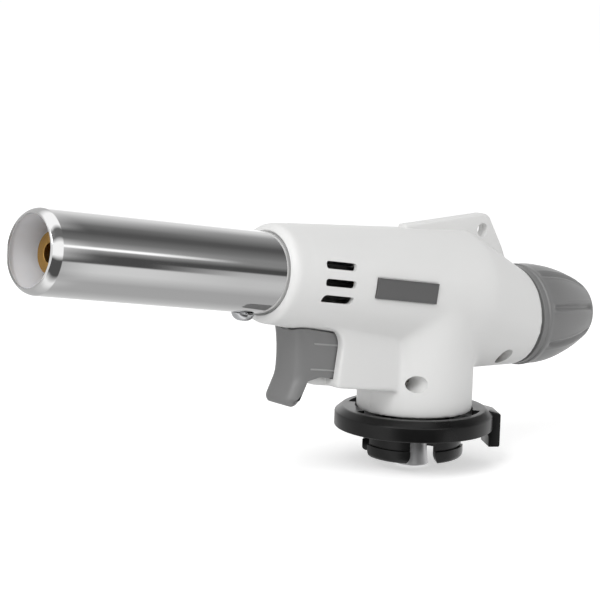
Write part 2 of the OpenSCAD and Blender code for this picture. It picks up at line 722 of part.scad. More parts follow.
housing_left();
housing_right();
flame_tube();
tube_screw();
burner_mount();
burner_head();
burner_gauze();
mixing_tube();
gas_jet();
valve_body();
inlet_stem();
inlet_seal();
inlet_filter();
lock_ring();
ring_clip();
valve_spindle();
spindle_seal();
gland_nut();
gas_knob();
trigger();
igniter_body();
igniter_plunger();
trigger_spring();
ignition_lead();
electrode_insulator();
electrode_wire();
name_plates();
housing_screws();
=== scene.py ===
# %% [markdown]
# # A hand torch for a bayonet gas cartridge
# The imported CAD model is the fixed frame. Its bodies move, so every new piece rides on one of them.
# Inner pieces keep their CAD shapes and get a finish. The pieces that the eye meets first are
# modelled again here, with the soft blends and rounded edges that moulded and drawn parts have.

# %% Load the frame
import json
import math

import bmesh
import bpy
from mathutils import Matrix, Vector


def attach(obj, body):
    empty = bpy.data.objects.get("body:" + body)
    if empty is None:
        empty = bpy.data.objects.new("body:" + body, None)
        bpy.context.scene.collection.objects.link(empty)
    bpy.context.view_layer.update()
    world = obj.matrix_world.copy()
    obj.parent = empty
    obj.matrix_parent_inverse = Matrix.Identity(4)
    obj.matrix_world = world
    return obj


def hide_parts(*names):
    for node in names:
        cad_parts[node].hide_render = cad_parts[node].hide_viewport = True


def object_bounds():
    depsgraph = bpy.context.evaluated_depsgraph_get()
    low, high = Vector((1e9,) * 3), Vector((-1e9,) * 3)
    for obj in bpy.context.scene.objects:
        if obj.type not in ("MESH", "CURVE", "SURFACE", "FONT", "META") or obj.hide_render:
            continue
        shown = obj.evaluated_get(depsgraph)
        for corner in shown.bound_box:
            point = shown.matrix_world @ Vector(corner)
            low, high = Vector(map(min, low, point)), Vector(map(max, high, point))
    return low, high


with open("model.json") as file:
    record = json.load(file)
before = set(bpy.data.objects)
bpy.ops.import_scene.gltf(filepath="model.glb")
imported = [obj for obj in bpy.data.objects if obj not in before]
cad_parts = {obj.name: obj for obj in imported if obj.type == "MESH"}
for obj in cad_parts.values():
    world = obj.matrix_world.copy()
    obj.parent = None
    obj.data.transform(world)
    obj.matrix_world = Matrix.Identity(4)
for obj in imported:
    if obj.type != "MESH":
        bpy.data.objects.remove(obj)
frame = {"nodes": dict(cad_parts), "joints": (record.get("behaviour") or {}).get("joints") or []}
cad_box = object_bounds()
print("CAD box in mm:", [[round(v * 1000, 1) for v in corner] for corner in cad_box])

# %% [markdown]
# ## Three ways to place a piece
# Shapes are drawn in millimetres, round their own axis, and are scaled to metres at the end.
# The barrel and the valve are tilted, and the joints of the record give their directions: the
# trigger slides along the barrel, and the knob turns about the valve.

# %% Frames of the barrel and the valve
MM = 0.001
BARREL_HEIGHT = 36

joints = {joint["name"]: joint for joint in frame["joints"]}
barrel_back = Vector(joints["trigger_slide"]["axis"])
valve_back = Vector(joints["knob_turn"]["axis"])
valve_point = Vector(joints["knob_turn"]["pos_m"]) / MM
valve_height = valve_point.z - valve_point.x * valve_back.z / valve_back.x

# Turning by a tilt about Y lowers +X, so a part that leans down to the rear has a positive tilt
barrel_tilt = math.atan2(-barrel_back.z, barrel_back.x)
valve_tilt = math.atan2(-valve_back.z, valve_back.x)
QUARTER = math.radians(90)

BARREL = Matrix.Translation((0, 0, BARREL_HEIGHT)) @ Matrix.Rotation(barrel_tilt, 4, "Y")
ALONG_BARREL = BARREL @ Matrix.Rotation(-QUARTER, 4, "Y")
ALONG_VALVE = (Matrix.Translation((0, 0, valve_height)) @ Matrix.Rotation(valve_tilt, 4, "Y")
               @ Matrix.Rotation(QUARTER, 4, "Y"))
print("barrel tilt", round(math.degrees(barrel_tilt), 2), "degrees")
print("valve tilt", round(math.degrees(valve_tilt), 2), "degrees")

# %% [markdown]
# ## Shapes from a rounded outline
# Nearly every part of a torch is turned or moulded, so it starts as a flat outline in X and Z.
# Each corner of the outline is bevelled with its own radius. The outline is then spun round Z for
# a turned part, or extruded along Y for a moulded one.

# %% Outline, lathe and plate
def outline(shape, corners, segments=5):
    """A flat face from (x, z, radius) corners."""
    verts = [shape.verts.new((x, 0, z)) for x, z, radius in corners]
    shape.faces.new(verts)
    for vert, (x, z, radius) in zip(verts, corners):
        if radius:
            bmesh.ops.bevel(shape, geom=[vert], offset=radius, offset_type="OFFSET",
                            segments=segments, profile=0.5, affect="VERTICES",
                            clamp_overlap=True, material=-1)


def lathe(corners, steps=96, segments=5):
    """Spins an outline about Z. Edges that lie on the axis are left out, so the poles close."""
    shape = bmesh.new()
    outline(shape, corners, segments)
    bmesh.ops.delete(shape, geom=shape.faces[:], context="FACES_ONLY")
    axis = [edge for edge in shape.edges if all(abs(vert.co.x) < 1e-5 for vert in edge.verts)]
    bmesh.ops.delete(shape, geom=axis, context="EDGES")
    bmesh.ops.spin(shape, geom=shape.verts[:] + shape.edges[:], cent=(0, 0, 0), axis=(0, 0, 1),
                   angle=math.tau, steps=steps, use_merge=True, use_duplicate=False)
    bmesh.ops.remove_doubles(shape, verts=shape.verts[:], dist=1e-4)
    bmesh.ops.recalc_face_normals(shape, faces=shape.faces[:])
    return shape


def plate(corners, width, segments=5):
    """Extrudes an outline along Y, half to each side."""
    shape = bmesh.new()
    outline(shape, corners, segments)
    bmesh.ops.translate(shape, verts=shape.verts[:], vec=(0, -width / 2, 0))
    grown = bmesh.ops.extrude_face_region(shape, geom=shape.faces[:])
    tops = [item for item in grown["geom"] if isinstance(item, bmesh.types.BMVert)]
    bmesh.ops.translate(shape, verts=tops, vec=(0, width, 0))
    bmesh.ops.recalc_face_normals(shape, faces=shape.faces[:])
    return shape


def block(low, high):
    """A box between two corners."""
    shape = bmesh.new()
    size = Vector(high) - Vector(low)
    middle = (Vector(high) + Vector(low)) / 2
    place = Matrix.Translation(middle) @ Matrix.Diagonal(size).to_4x4()
    bmesh.ops.create_cube(shape, size=1, matrix=place)
    return shape


def round_edges(shape, radius, segments=3, least_angle=30, chosen=lambda edge: True):
    """Bevels the edges that are sharper than least_angle."""
    edges = [edge for edge in shape.edges if edge.is_manifold and chosen(edge)
             and edge.calc_face_angle(0) > math.radians(least_angle)]
    bmesh.ops.bevel(shape, geom=edges, offset=radius, offset_type="OFFSET", segments=segments,
                    profile=0.5, affect="EDGES", clamp_overlap=True, material=-1)
    return shape

# %% [markdown]
# ## Joining, cutting and softening
# Boolean modifiers with the manifold solver join and cut closed shapes quickly. A moulded body is
# softened in another way: a voxel remesh melts its overlapping solids into one skin, and smoothing
# that skin rounds every edge and fills every inner corner by the same small radius, as the
# radii in a mould do.

# %% Solids and modifiers
def solid(name, shape, place=Matrix()):
    """An object, still in millimetres, from a shape that is turned into place."""
    shape.transform(place)
    data = bpy.data.meshes.new(name)
    shape.to_mesh(data)
    shape.free()
    piece = bpy.data.objects.new(name, data)
    bpy.context.scene.collection.objects.link(piece)
    return piece


def settle(piece):
    """Makes the result of the modifiers the piece's own mesh."""
    graph = bpy.context.evaluated_depsgraph_get()
    data = bpy.data.meshes.new_from_object(piece.evaluated_get(graph))
    old = piece.data
    piece.modifiers.clear()
    piece.data = data
    bpy.data.meshes.remove(old)
    data.name = piece.name


def combine(piece, tools, operation="DIFFERENCE"):
    """Cuts the tools out of the piece, or joins them to it, and removes them."""
    for tool in tools:
        step = piece.modifiers.new("combine", "BOOLEAN")
        step.operation = operation
        step.object = tool
        step.solver = "MANIFOLD"
    settle(piece)
    for tool in tools:
        bpy.data.objects.remove(tool)
    return piece


def melt(name, parts, voxel, passes):
    """One soft skin round overlapping solids. The parts are objects, and they are removed."""
    whole = bmesh.new()
    for part in parts:
        whole.from_mesh(part.data)
        bpy.data.objects.remove(part)
    piece = solid(name, whole)
    skin = piece.modifiers.new("skin", "REMESH")
    skin.mode = "VOXEL"
    skin.voxel_size = voxel
    skin.adaptivity = 0
    soft = piece.modifiers.new("soft", "SMOOTH")
    soft.factor = 0.5
    soft.iterations = passes
    settle(piece)
    return piece

# %% [markdown]
# ## Materials
# One function adds a node with its settings and its links. Colours are written as sRGB hex values
# and are turned to linear light, which is what the shader reads.

# %% Colour and node helpers
def colour(hex_code):
    """sRGB hex to linear RGBA."""
    parts = [int(hex_code[i:i + 2], 16) / 255 for i in (1, 3, 5)]
    return [c / 12.92 if c <= 0.04045 else ((c + 0.055) / 1.055) ** 2.4 for c in parts] + [1]


def node(tree, kind, inputs=None, **settings):
    """Adds a node. An input that is another node's output is linked, and any other value is set."""
    made = tree.nodes.new(kind)
    for name, value in settings.items():
        setattr(made, name, value)
    for name, value in (inputs or {}).items():
        if isinstance(value, bpy.types.NodeSocket):
            tree.links.new(value, made.inputs[name])
        else:
            made.inputs[name].default_value = value
    return made


print("mid grey in linear light:", round(colour("#808080")[0], 3))

# %% [markdown]
# No real surface is even. Each finish gets a fine grain in its height, from the mould or the tool,
# and slow patches, some millimetres wide, in which its colour and its gloss stray a little.

# %% A finish
MIX_FACTOR, MIX_A, MIX_B, MIX_RESULT = 0, 6, 7, 2
PATCH = 9
LEAST_ROUGH = 0.02


def finish_of(name, hex_code, roughness, metallic=0.0, ior=1.5, uneven=0.04, grain=0.3,
              grain_depth=0.004, stretch=(1, 1, 1), spread=0.03, turn=None, shine=0.5):
    """A surface with fine grain in its height and slow changes in its colour and gloss.

    grain is the size of the texture in mm and grain_depth its height. stretch lengthens it along an
    axis, which turn leans. uneven is how far the roughness strays, and spread how far the colour
    does. shine is the strength of the plain reflection, where 0.5 is a clean surface."""
    material = bpy.data.materials.new(name)
    material.use_nodes = True
    tree = material.node_tree
    shader = tree.nodes["Principled BSDF"]
    shader.inputs["Metallic"].default_value = metallic
    shader.inputs["Specular IOR Level"].default_value = shine
    if not metallic:
        shader.inputs["IOR"].default_value = ior
    place = node(tree, "ShaderNodeTexCoord").outputs["Object"]
    if turn:
        place = node(tree, "ShaderNodeMapping", {"Vector": place, "Rotation": turn}).outputs[0]
    lengthened = node(tree, "ShaderNodeMapping",
                      {"Vector": place, "Scale": [1 / s for s in stretch]}).outputs[0]
    fine = node(tree, "ShaderNodeTexNoise", {"Vector": lengthened, "Scale": 1 / (grain * MM),
                                             "Detail": 3, "Roughness": 0.6})
    slow = node(tree, "ShaderNodeTexNoise", {"Vector": place, "Scale": 1 / (PATCH * MM),
                                             "Detail": 2})
    base = colour(hex_code)
    paler = [min(1, c * (1 + spread)) for c in base[:3]] + [1]
    darker = [c * (1 - spread) for c in base[:3]] + [1]
    tint = node(tree, "ShaderNodeMix",
                {MIX_FACTOR: slow.outputs["Fac"], MIX_A: darker, MIX_B: paler}, data_type="RGBA")
    tree.links.new(tint.outputs[MIX_RESULT], shader.inputs["Base Color"])
    # The noise keeps mostly between 0.3 and 0.7, so that part of it is stretched over the range
    gloss = node(tree, "ShaderNodeMapRange", {"Value": slow.outputs["Fac"],
                                              "From Min": 0.3, "From Max": 0.7,
                                              "To Min": max(LEAST_ROUGH, roughness - uneven),
                                              "To Max": roughness + uneven})
    tree.links.new(gloss.outputs[0], shader.inputs["Roughness"])
    bump = node(tree, "ShaderNodeBump", {"Height": fine.outputs["Fac"], "Strength": 1.0,
                                         "Distance": grain_depth * MM})
    tree.links.new(bump.outputs[0], shader.inputs["Normal"])
    return material

# %% [markdown]
# ### The finishes
# The grip is ABS, injection moulded in a lightly textured mould. The trigger and knob are the same
# plastic in grey, from smoother moulds, and the lock ring is nylon with glass fibre. The flame tube
# is drawn stainless steel, polished outside, with its heat-dulled inside left as drawn. Each
# finish starts from the typical values of its real material, and a comment says what the eye gets.

# %% Plastics, rubbers and ceramic
# Moulded ABS: an even satin white with wide, soft highlights
white_abs = finish_of("abs_satin_white", "#E6E6E5", 0.46, ior=1.53, grain=0.35, grain_depth=0.006,
                      spread=0.008)
# ABS from a smoother mould: mid grey, a little glossier than the grip
grey_abs = finish_of("abs_satin_grey", "#7B7B7B", 0.36, ior=1.53, grain=0.4, spread=0.02)
# The same grey on the trigger's ribs, paler and duller: the paler colour is a painted highlight where
# the ridges catch the light
rib_highlight_grey = finish_of("abs_grey_painted_rib_highlight", "#A2A2A2", 0.5, ior=1.53, grain_depth=0.006)
# Nylon with glass fibre: nearly black, with a soft sheen on its edges
black_nylon = finish_of("nylon_glossy_black", "#0D0D0D", 0.3, ior=1.53, grain=0.5, spread=0.06,
                        shine=0.3)
# A printed plate: flat dark grey
plate_print = finish_of("printed_plate_dark_grey", "#5E5E5E", 0.42, grain=0.2, grain_depth=0.002)
# Acetal: ivory, slightly waxy
ivory_acetal = finish_of("acetal_ivory", "#D9D2BE", 0.38, ior=1.48, grain=0.4)
# A silicone sleeve: dull black
silicone = finish_of("silicone_black", "#151515", 0.55, ior=1.41, spread=0.05)
# Nitrile rubber: dull and dusty black
nitrile = finish_of("nitrile_rubber_black", "#111111", 0.6, ior=1.52, grain=0.25, grain_depth=0.006)
# Glazed alumina: a hard, glossy off-white
alumina = finish_of("alumina_glazed", "#EFEBE2", 0.3, ior=1.77, grain=0.5, grain_depth=0.003,
                    spread=0.02)
print("nodes in a finish:", len(white_abs.node_tree.nodes))

# %% Metals
# Drawn and polished stainless steel: a mirror, streaked very finely along the barrel. Real
# polishing lines are too fine to show, so they are drawn coarser
polished_steel = finish_of("stainless_polished", "#D2D2D2", 0.07, metallic=1, uneven=0.02,
                           grain=1.6, grain_depth=0.0018, stretch=(30, 1, 1), spread=0.01,
                           turn=(0, -barrel_tilt, 0))
# Stainless steel as it was drawn: grey, with blurred reflections
drawn_steel = finish_of("stainless_as_drawn", "#C9C8C6", 0.5, metallic=1, uneven=0.05,
                        grain_depth=0.008, stretch=(6, 1, 1), spread=0.04)
# Steel under a thin scale from the heat: pale and chalky, and no longer a metal to the eye
dulled_steel = finish_of("steel_oxide_dull", "#F0F2F6", 0.5, ior=1.9, uneven=0.05, grain=0.5,
                         grain_depth=0.006)
# Nickel plate: warm grey with soft reflections
plated_steel = finish_of("steel_nickel_plated", "#B9B7B3", 0.22, metallic=1, uneven=0.05, grain=0.4,
                         spread=0.04)
# Bright zinc plate: cool, with sharp glints
bright_steel = finish_of("steel_zinc_plated_bright", "#C6C7C9", 0.12, metallic=1, grain=0.4,
                         spread=0.04)
# Phosphated steel: an even, dull grey
grey_steel = finish_of("steel_grey_phosphate", "#B8B8B9", 0.42, metallic=1, uneven=0.05,
                       spread=0.04)
# Turned brass: golden, its gloss broken by the tool's fine marks
turned_brass = finish_of("brass_turned", "#B08A4E", 0.34, metallic=1, uneven=0.06, grain=0.25,
                         grain_depth=0.006, spread=0.06)
# Die-cast zinc: mottled, dull grey
cast_zinc = finish_of("zinc_die_cast", "#9A9A98", 0.48, metallic=1, uneven=0.06, grain=0.6,
                      grain_depth=0.02, spread=0.06)
print("nodes in the polished steel:", len(polished_steel.node_tree.nodes))

# %% [markdown]
# ## Finishing a piece
# A finished piece is scaled to metres, smooth-shaded except where its faces meet at a real edge,
# given its finish, and set to ride on its body.

# %% Finish and ride
def finish_piece(piece, body, materials, stands_for=(), sharp=32):
    """Finishes a piece. Edges turned by more than sharp degrees stay crisp."""
    piece.data.transform(Matrix.Scale(MM, 4))
    piece.data.materials.clear()
    piece.data.polygons.foreach_set("material_index", [0] * len(piece.data.polygons))
    piece.data.shade_smooth()
    piece.data.set_sharp_from_angle(angle=math.radians(sharp))
    for material in materials:
        piece.data.materials.append(material)
    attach(piece, body)
    if stands_for:
        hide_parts(*stands_for)
    piece.data.calc_loop_triangles()
    print(piece.name, len(piece.data.loop_triangles), "triangles")
    return piece

# %% [markdown]
# ## Grip
# The grip is two moulded halves. A cone round the burner, a shoulder that narrows to the knob, and
# an upright neck flow into each other with generous radii, and the cheeks of the trigger's jaw
# meet them more tightly. So the big volumes are melted first with much smoothing, their ends are
# cut flat, and the lip and the jaw are melted on with little. A subdivision surface could blend
# them too, but would need a hand-laid mesh wherever two volumes meet.

# %% Sizes of the grip
# Names that end in _S are distances forwards along the barrel, or backwards along the valve
WALL = 2
CONE_FRONT_R, CONE_REAR_R, CONE_BACK = 12.3, 15.9, 12
LIP_S, LIP_ROUND = 51.8, 2.2
CONE_FRONT_S = LIP_S - LIP_ROUND
CONE_SLOPE = (CONE_REAR_R - CONE_FRONT_R) / (CONE_FRONT_S + CONE_BACK)
NECK_R, NECK_BOTTOM = 14.7, 5.0
REAR_R, REAR_FROM, REAR_S = 12.9, 6, 32.1
TUBE_R, TUBE_TAIL, TUBE_TIP = 10, 44, 120.2
JAW_HALF, JAW_DROP, JAW_FRONT, TONGUE_FRONT = 7.8, 26.1, 29.3, 35.4
# Smoothing draws a skin in by this much, so the volumes start that much larger
MELT_SHRINK = 0.12
ROUND_STEPS = 128


def cone_r(s):
    """Radius of the cone at a distance s along the barrel."""
    return CONE_FRONT_R + (CONE_FRONT_S - s) * CONE_SLOPE


print("cone radius at the lip", round(cone_r(LIP_S), 2), "mm")

# %% [markdown]
# The shoulder is the hard part to draw, because the two barrels lean by different angles. A convex
# hull does it in one step: it is the smallest skin that holds the cone's rear disc and the rear
# barrel.

# %% Shoulder
DISC_T = 0.5


def shoulder(inset):
    """The shoulder's skin, drawn in by inset."""
    shape = bmesh.new()
    disc_r = CONE_REAR_R - inset
    bmesh.ops.create_cone(shape, segments=96, radius1=disc_r, radius2=disc_r, depth=DISC_T,
                          cap_ends=True, matrix=ALONG_BARREL
                          @ Matrix.Translation((0, 0, inset - CONE_BACK + 0.3)))
    end = REAR_S - inset
    bmesh.ops.create_cone(shape, segments=96, radius1=REAR_R - inset, radius2=REAR_R - inset,
                          depth=end - REAR_FROM, cap_ends=True,
                          matrix=ALONG_VALVE @ Matrix.Translation((0, 0, (end + REAR_FROM) / 2)))
    points = [vert.co.copy() for vert in shape.verts]
    shape.clear()
    bmesh.ops.convex_hull(shape, input=[shape.verts.new(point) for point in points])
    loose = [vert for vert in shape.verts if not vert.link_faces]
    bmesh.ops.delete(shape, geom=loose, context="VERTS")
    bmesh.ops.recalc_face_normals(shape, faces=shape.faces[:])
    return shape

# %% Melt the big volumes
BIG_VOXEL, BIG_PASSES = 0.6, 36


def drum(radius_from, height_from, radius_to, height_to, steps=ROUND_STEPS):
    """A plain turned shape between two heights, which widens or narrows evenly."""
    return lathe([(0, height_from, 0), (radius_from, height_from, 0), (radius_to, height_to, 0),
                  (0, height_to, 0)], steps)


wide_rear, wide_neck = REAR_R + MELT_SHRINK, NECK_R + MELT_SHRINK
cone = drum(CONE_REAR_R + MELT_SHRINK, -CONE_BACK, cone_r(60) + MELT_SHRINK, 60)
grip = melt("grip", [
    solid("cone", cone, ALONG_BARREL),
    solid("shoulder", shoulder(-MELT_SHRINK)),
    solid("rear_barrel", drum(wide_rear, REAR_FROM, wide_rear, REAR_S + 5), ALONG_VALVE),
    solid("neck", drum(wide_neck, -6, wide_neck, 32)),
], BIG_VOXEL, BIG_PASSES)
combine(grip, [
    solid("front_cut", block((-90, -40, -60), (-45, 40, 60)), BARREL),
    solid("neck_cut", block((-40, -40, -30), (40, 40, NECK_BOTTOM))),
    solid("rear_cut", block((-60, -60, REAR_S), (60, 60, 60)), ALONG_VALVE),
])
print("big volumes:", len(grip.data.polygons), "faces")

# %% Lip, jaw and tongue
FINE_VOXEL, FINE_PASSES = 0.42, 12
JAW_ROUND, JAW_REACH, TONGUE_W = 4, 6.5, 6.2
jaw = plate([(2, -10, 0), (2, -JAW_DROP, 0), (-JAW_FRONT, -JAW_DROP, 1),
             (-JAW_FRONT, -12, JAW_ROUND), (-JAW_FRONT - JAW_REACH, -11.2, 0),
             (-JAW_FRONT - JAW_REACH, -9, 0)], 2 * JAW_HALF)
tongue_top = -JAW_DROP + WALL
tongue = plate([(-26, tongue_top, 0), (-26, -JAW_DROP, 0), (-TONGUE_FRONT + 0.6, -JAW_DROP, 2),
                (-TONGUE_FRONT, tongue_top + 0.1, 0.5), (-JAW_FRONT - 1, tongue_top, 0)], TONGUE_W)
lip = lathe([(0, 40, 0), (cone_r(40), 40, 0), (cone_r(LIP_S), LIP_S, LIP_ROUND), (0, LIP_S, 0)],
            ROUND_STEPS, 8)
grip = melt("grip", [grip, solid("jaw", jaw, BARREL), solid("lip", lip, ALONG_BARREL)],
            FINE_VOXEL, FINE_PASSES)
combine(grip, [solid("tongue", round_edges(tongue, 0.4), BARREL)], "UNION")
print("grip skin:", len(grip.data.polygons), "faces")

# %% [markdown]
# The fin that the torch hangs by is a flat plate across the parting line, so it has crisper edges
# than the body. It is joined after the melting, and its hole is drilled through.

# %% Fin
FIN_T, HANG_R, HANG_X, HANG_Z = 3.3, 1.8, 20, 49.6
fin = plate([(-7, 46, 0), (-6.5, 52.65, 0), (22, 53.87, 1.75), (27.6, 44.4, 0), (29, 41.2, 0),
             (24, 38, 0)], FIN_T, 8)
combine(grip, [solid("fin", round_edges(fin, 0.55, 4))], "UNION")
print("grip with its fin:", len(grip.data.polygons), "faces")

# %% [markdown]
# ### Hollow, vents and recesses
# The inside follows the outside at the wall's thickness. The jaw is open towards the trigger, and
# stops below the cone. The wall is thinner behind the vents, so that the slots look dark.

# %% Hollow
VENT_WALL, TUBE_SEAT_R, NECK_MOUTH_R = 1.0, 10.95, 9.3
fit_r, flared_r = TUBE_R + 0.05, TUBE_R + 0.6
hollow = solid("hollow", lathe([
    (0, WALL - CONE_BACK, 0), (CONE_REAR_R - WALL, WALL - CONE_BACK, 0), (cone_r(32) - WALL, 32, 0),
    (cone_r(33) - VENT_WALL, 33, 0), (cone_r(42.5) - VENT_WALL, 42.5, 0),
    (TUBE_SEAT_R, 42.5, 0), (TUBE_SEAT_R, TUBE_TAIL + 0.05, 0), (fit_r, TUBE_TAIL + 0.05, 0),
    (fit_r, LIP_S - 0.5, 0), (flared_r, LIP_S + 0.05, 0), (flared_r, LIP_S + 3, 0),
    (0, LIP_S + 3, 0)], ROUND_STEPS), ALONG_BARREL)


def jaw_room(back, front, top):
    """The room between the jaw's cheeks, from back to front."""
    return plate([(back, top, 0), (back, -JAW_DROP + WALL, 0), (front, -JAW_DROP + WALL, 0),
                  (front, top, 0)], 2 * (JAW_HALF - WALL))


jaw_inside = solid("jaw_inside", jaw_room(-JAW_FRONT + 6, -JAW_FRONT - 9, -9), BARREL)
combine(jaw_inside, [solid("cone_outside", drum(cone_r(20), 20, cone_r(60), 60), ALONG_BARREL)])
neck_inside_r = NECK_R - WALL
combine(hollow, [
    jaw_inside,
    solid("shoulder_inside", shoulder(WALL)),
    solid("neck_inside", drum(neck_inside_r, 5.9, neck_inside_r, 30.4, 96)),
    solid("neck_mouth", drum(NECK_MOUTH_R, 2, NECK_MOUTH_R, 10, 96)),
    solid("jaw_back", jaw_room(2, -JAW_FRONT + 4, -8), BARREL),
], "UNION")
print("hollow:", len(hollow.data.polygons), "faces")

# %% [markdown]
# The posts for the two housing screws stay when the hollow is cut away. The vents are slots through
# the wall, the name plate lies in a shallow bed, and each screw sits at the bottom of a round well.

# %% Places of the screws, vents and plates
POST_R, WELL_R, REAR_BORE_R = 2.6, 2.15, 5.95
# Each screw: x, z, and the y of its well's floor
SCREWS = [(-9.5, 13.8, -5.4), (22.5, 17.4, -5)]
# Each vent: its height over the axis, and how far its ends lean
VENT_ROWS = [(4.4, 0), (0.2, 0), (-3.8, 0.4)]
VENT_S, VENT_LENGTH, VENT_HEIGHT, VENT_ROUND = 37.6, 9.3, 1.85, 0.75
PLATE_S, PLATE_LENGTH, PLATE_HEIGHT, PLATE_SINK, PLATE_GAP = 16.9, 19.1, 5.1, 0.3, 0.25


def across(x, z, radius, y_from, y_to):
    """A round bar along Y."""
    turned = Matrix.Translation((x, 0, z)) @ Matrix.Rotation(QUARTER, 4, "X")
    return solid("bar", drum(radius, -y_to, radius, -y_from, 48), turned)


def plate_place(side):
    """The plate's frame on one side: it follows the cone's slope, and its Y faces outwards."""
    return (BARREL @ Matrix.Translation((-PLATE_S, side * (cone_r(PLATE_S) - PLATE_SINK), 0))
            @ Matrix.Rotation(side * math.atan(CONE_SLOPE), 4, "Z"))


# %% Cut the grip
combine(hollow, [across(x, z, POST_R, -14, 14) for x, z, floor in SCREWS])
combine(grip, [hollow])
cuts = [solid("rear_bore", drum(REAR_BORE_R, -3, REAR_BORE_R, 40, 96), ALONG_VALVE)]
half, tall = VENT_LENGTH / 2, VENT_HEIGHT / 2
for height, skew in VENT_ROWS:
    slot = plate([(half + skew, tall, VENT_ROUND), (half - skew, -tall, VENT_ROUND),
                  (-half - skew, -tall, VENT_ROUND), (-half + skew, tall, VENT_ROUND)], 60)
    cuts.append(solid("vent", slot, BARREL @ Matrix.Translation((-VENT_S, 0, height))))
for x, z, floor in SCREWS:
    cuts.append(across(x, z, WELL_R, -30, floor))
bed_x, bed_z = PLATE_LENGTH / 2 + PLATE_GAP, PLATE_HEIGHT / 2 + PLATE_GAP
for side in (-1, 1):
    bed = block((-bed_x, 0, -bed_z), (bed_x, side * 6, bed_z))
    bmesh.ops.recalc_face_normals(bed, faces=bed.faces[:])
    cuts.append(solid("bed", bed, plate_place(side)))
cuts.append(across(HANG_X, HANG_Z, HANG_R, -9, 9))
print(len(cuts), "cuts in the grip")
combine(grip, cuts)

# %% [markdown]
# The halves meet on the mirror plane with a hair's breadth between them, the parting line that any
# two-part moulding shows.

# %% Split the grip
PARTING = 0.03
for side, name in ((-1, "left"), (1, "right")):
    half_space = block((-100, side * PARTING, -60), (100, side * 60, 100))
    bmesh.ops.recalc_face_normals(half_space, faces=half_space.faces[:])
    half = solid("grip_" + name, bmesh.new())
    half.data = grip.data.copy()
    combine(half, [solid("half_space", half_space)], "INTERSECT")
    finish_piece(half, "main", [white_abs], ["housing_" + name], sharp=38)
bpy.data.objects.remove(grip)

# %% [markdown]
# ## Flame tube
# Drawn steel tube, with its mouth spun inwards to a thin lip. A lathe outline gives the outside,
# the lip and the inside. Faces that look towards the axis get the duller finish.

# %% Tube
TUBE_WALL, MOUTH_R, MOUTH_ROLL, LIP_EDGE = 0.6, 8.75, 1.5, 0.4
bore_r = TUBE_R - TUBE_WALL
tube = solid("tube", lathe([
    (TUBE_R, TUBE_TAIL + 0.1, 0), (TUBE_R, TUBE_TIP - MOUTH_ROLL, 1.1),
    (MOUTH_R + 0.05, TUBE_TIP - 0.1, 0.3), (MOUTH_R - 0.25, TUBE_TIP, 0.1),
    (MOUTH_R - 0.4, TUBE_TIP - 0.5, 0.2), (bore_r, TUBE_TIP - MOUTH_ROLL - 0.2, 0.8),
    (bore_r, TUBE_TAIL + 0.1, 0)], 192, 8), ALONG_BARREL)
finish_piece(tube, "main", [polished_steel, dulled_steel], ["flame_tube"])
to_barrel = (Matrix.Scale(MM, 4) @ ALONG_BARREL).inverted()
for face in tube.data.polygons:
    middle = to_barrel @ face.center
    facing = to_barrel.to_3x3() @ face.normal
    face.material_index = int(middle.xy.dot(facing.xy) < 0 and middle.z < TUBE_TIP - LIP_EDGE)
print("dulled faces:", sum(face.material_index for face in tube.data.polygons))

# %% [markdown]
# ## Burner head
# Turned brass, just inside the mouth. Its bore widens behind the face, to sit on the mixing tube.

# %% Burner head
HEAD_FRONT, HEAD_LENGTH, HEAD_R, HEAD_BORE, SOCKET_R = TUBE_TIP - 5.8, 13, 4.9, 2.3, 3.85
socket_end = HEAD_LENGTH - 5.5
head = solid("burner_tip", lathe([
    (SOCKET_R, 0, 0), (HEAD_R, 0, 0.3), (HEAD_R, HEAD_LENGTH, 0.2), (HEAD_BORE, HEAD_LENGTH, 0.15),
    (HEAD_BORE, HEAD_LENGTH - 4, 0), (3.3, socket_end, 0), (SOCKET_R, socket_end, 0)]),
    ALONG_BARREL @ Matrix.Translation((0, 0, HEAD_FRONT - HEAD_LENGTH)))
finish_piece(head, "main", [turned_brass], ["burner_head"])

# %% [markdown]
# ## Screws
# Pan heads with a cross recess. The one under the tube is in plain sight, and the two that hold
# the halves together lie deep in their wells.

# %% Pan head
SLOT_HALF, SLOT_DEPTH = 0.28, 1.0


def pan_head(name, radius, height, place):
    """A pan head that stands on its place, with two crossed slots."""
    head = solid(name, lathe([(0, 0, 0), (radius, 0, 0.2), (radius - 0.15, height * 0.55, 1.0),
                              (radius * 0.45, height, 0.6), (0, height, 0)], 64), place)
    arms = []
    for turn in (0, QUARTER):
        arm = block((-radius * 0.5, -SLOT_HALF, height - SLOT_DEPTH),
                    (radius * 0.5, SLOT_HALF, height + 1))
        arms.append(solid("arm", arm, place @ Matrix.Rotation(turn, 4, "Z")))
    return combine(head, arms)


# %% Screws
TUBE_SCREW_S, TUBE_SCREW_R, TUBE_SHANK_R = 56, 2.85, 1.45
HOUSING_SCREW_R, HOUSING_SHANK_R = 2, 1
under_tube = (ALONG_BARREL @ Matrix.Translation((0, 0, TUBE_SCREW_S))
              @ Matrix.Rotation(-QUARTER, 4, "Y"))
tube_screw = pan_head("tube_screw_head", TUBE_SCREW_R, 1.95,
                      under_tube @ Matrix.Translation((0, 0, TUBE_R + 0.05)))
shank = drum(TUBE_SHANK_R, 5.5, TUBE_SHANK_R, TUBE_R + 0.3, 48)
combine(tube_screw, [solid("shank", shank, under_tube)], "UNION")
finish_piece(tube_screw, "main", [bright_steel], ["tube_screw"])

